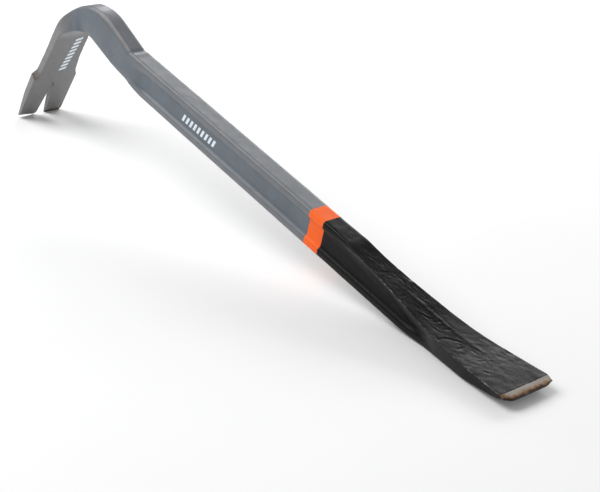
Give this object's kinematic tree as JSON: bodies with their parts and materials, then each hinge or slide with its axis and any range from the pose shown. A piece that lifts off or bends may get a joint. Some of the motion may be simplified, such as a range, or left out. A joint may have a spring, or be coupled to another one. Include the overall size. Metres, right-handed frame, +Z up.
{
  "type": "pry bar",
  "caption": "Gooseneck pry bar with a notched nail claw at one end and a flared chisel blade at the other.",
  "frame": {"origin": "centre of the bounding box, at the surface that the bar stands on with its claw tips and blade heel touching it", "axes": "+X along the bar from the claw to the blade, +Y across the bar, +Z up with the gooseneck above the floor"},
  "size_m": [0.6192, 0.0444, 0.1295],
  "materials": {
    "forged_steel": "ground bare steel with a slight heat tint",
    "grey_enamel": "satin slate-grey enamel over a forged surface",
    "orange_enamel": "satin orange enamel",
    "black_enamel": "gloss black enamel over a forged surface",
    "white_ink": "matt white printing ink"
  },
  "bodies": {
    "root": {"forged_bar": "forged_steel", "grey_coat": "grey_enamel", "orange_band": "orange_enamel", "black_coat": "black_enamel", "shank_mark": "white_ink", "leg_mark": "white_ink"}
  },
  "joints": []
}
